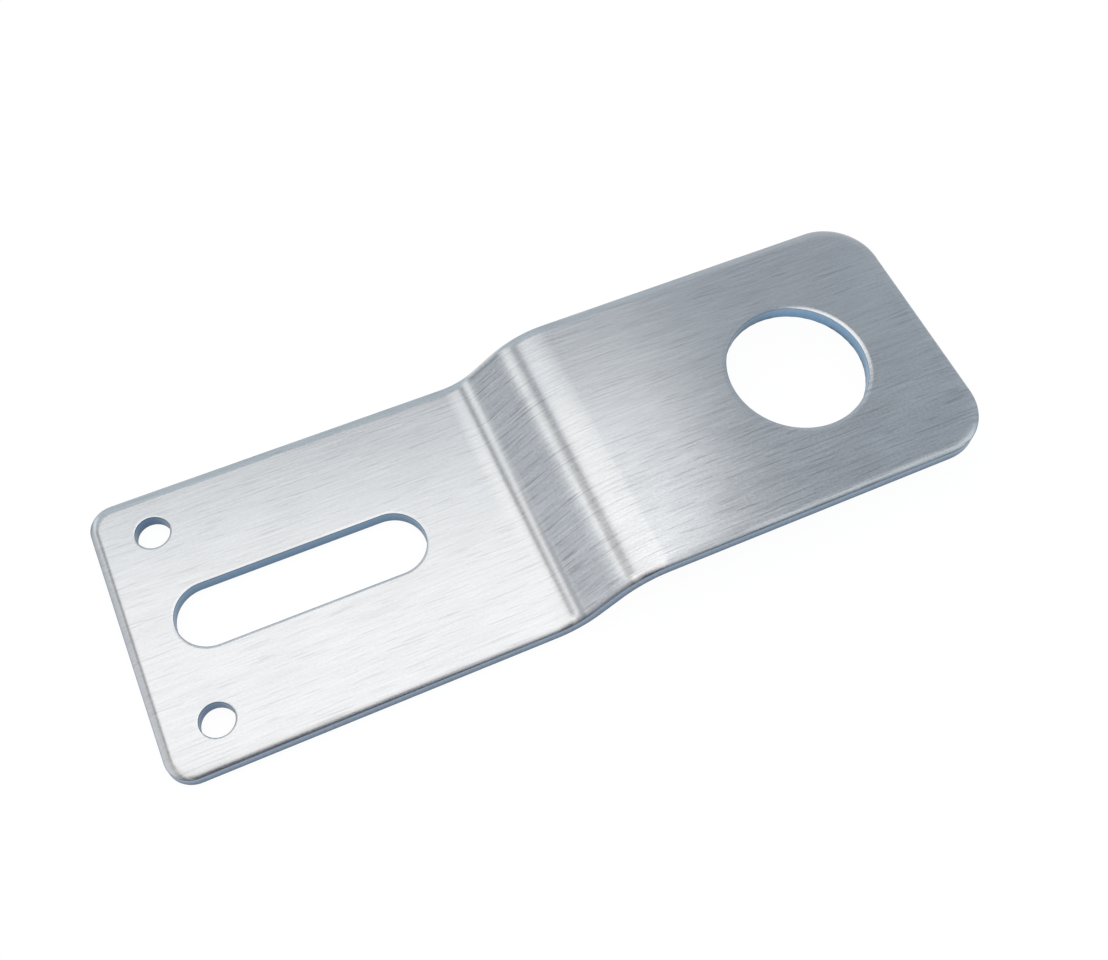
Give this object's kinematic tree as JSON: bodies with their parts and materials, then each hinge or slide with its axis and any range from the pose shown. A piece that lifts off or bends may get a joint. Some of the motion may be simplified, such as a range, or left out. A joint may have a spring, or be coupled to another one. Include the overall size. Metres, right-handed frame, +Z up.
{
  "type": "antenna bracket",
  "caption": "Flat steel bracket stepped by a joggle, with an adjusting slot and screw holes in the lower flat and a large antenna hole in the raised flat.",
  "frame": {"origin": "middle of the bracket's length and width, level with the underside of the lower flat", "axes": "+X along the strip from the slotted end to the antenna hole end, +Y across the strip, +Z up through both flats"},
  "size_m": [0.1152, 0.04, 0.0091],
  "materials": {
    "steel": "satin, brushed along the strip, with smoother sheared walls"
  },
  "bodies": {
    "root": {"bracket": "steel"}
  },
  "joints": []
}
